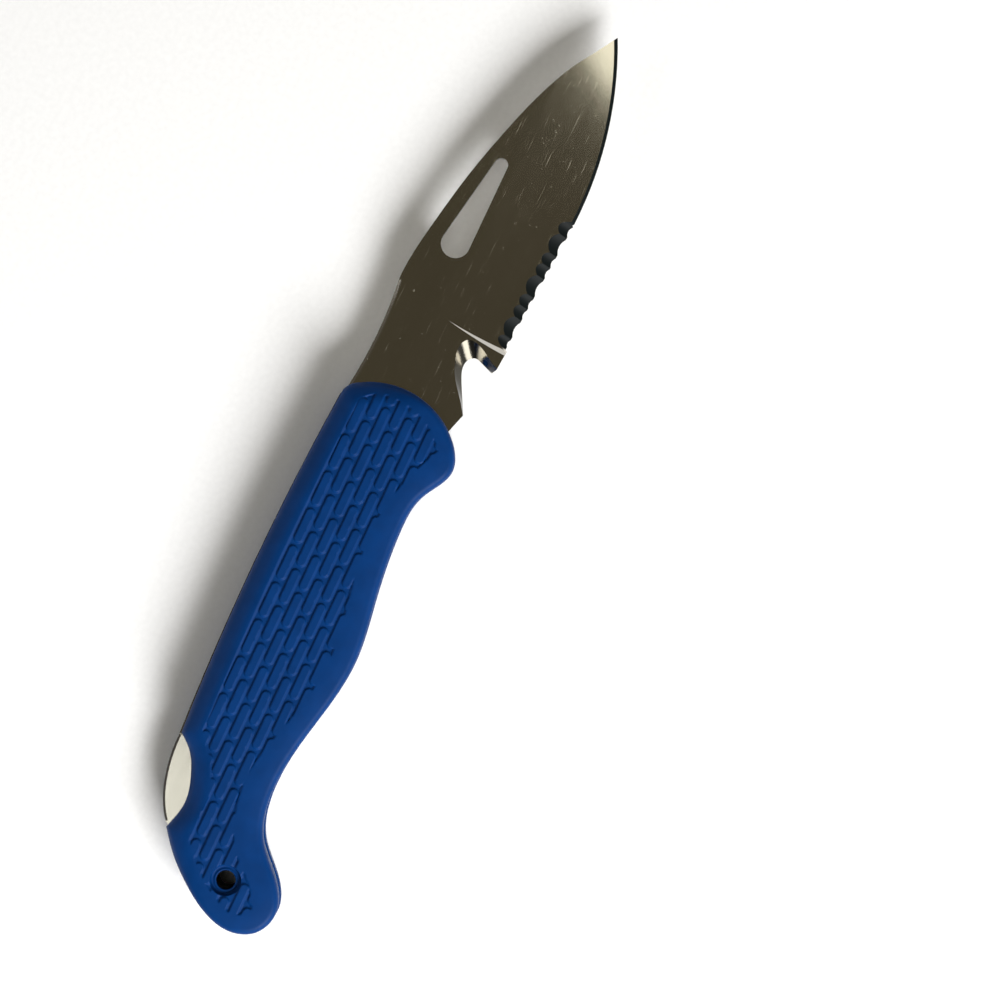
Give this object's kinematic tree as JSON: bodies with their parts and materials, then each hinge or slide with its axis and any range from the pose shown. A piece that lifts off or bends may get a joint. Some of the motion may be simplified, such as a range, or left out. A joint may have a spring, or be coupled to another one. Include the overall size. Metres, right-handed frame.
{
  "type": "rigging knife",
  "caption": "Lockback rigging knife, open: serrated blade with rope notch and shackle slot, brick-pattern moulded handle, lanyard hole.",
  "frame": {"origin": "centre of the lanyard hole, half way through the handle's thickness", "axes": "+X along the handle towards the blade's tip, +Y towards the spine, +Z along the lanyard hole, out of the front scale"},
  "size_m": [0.1947, 0.0341, 0.014],
  "materials": {
    "scale_plastic": "semi-matt moulded nylon",
    "liner_steel": "satin",
    "blade_steel": "satin, fine lengthwise scratches",
    "lock_steel": "satin",
    "spring_steel": "satin",
    "spacer_plastic": "matt black nylon",
    "pin_steel": "turned",
    "washer_bronze": "rolled"
  },
  "bodies": {
    "handle": {"front_scale": "scale_plastic", "rear_scale": "scale_plastic", "front_liner": "liner_steel", "rear_liner": "liner_steel", "lock_spring": "spring_steel", "tail_spacer": "spacer_plastic", "blade_pivot_pin": "pin_steel", "lock_bar_pin": "pin_steel", "tail_rivets": "pin_steel", "front_pivot_washer": "washer_bronze", "rear_pivot_washer": "washer_bronze", "lanyard_tube": "pin_steel"},
    "blade": {"blade": "blade_steel"},
    "lock_bar": {"lock_bar": "lock_steel"}
  },
  "joints": [
    {"name": "blade_fold", "type": "hinge", "parent": "handle", "child": "blade", "pos_m": [0.0918, 0.0072, 0], "axis": [0, 0, -1], "range_deg": [0, 167.4]},
    {"name": "lock_press", "type": "hinge", "parent": "handle", "child": "lock_bar", "pos_m": [0.057, 0.0189, 0], "axis": [0, 0, 1], "range_deg": [0, 3.5], "stiffness_Nm_per_rad": 8, "springref_deg": -1.15, "deforming": ["lock_spring"]}
  ]
}
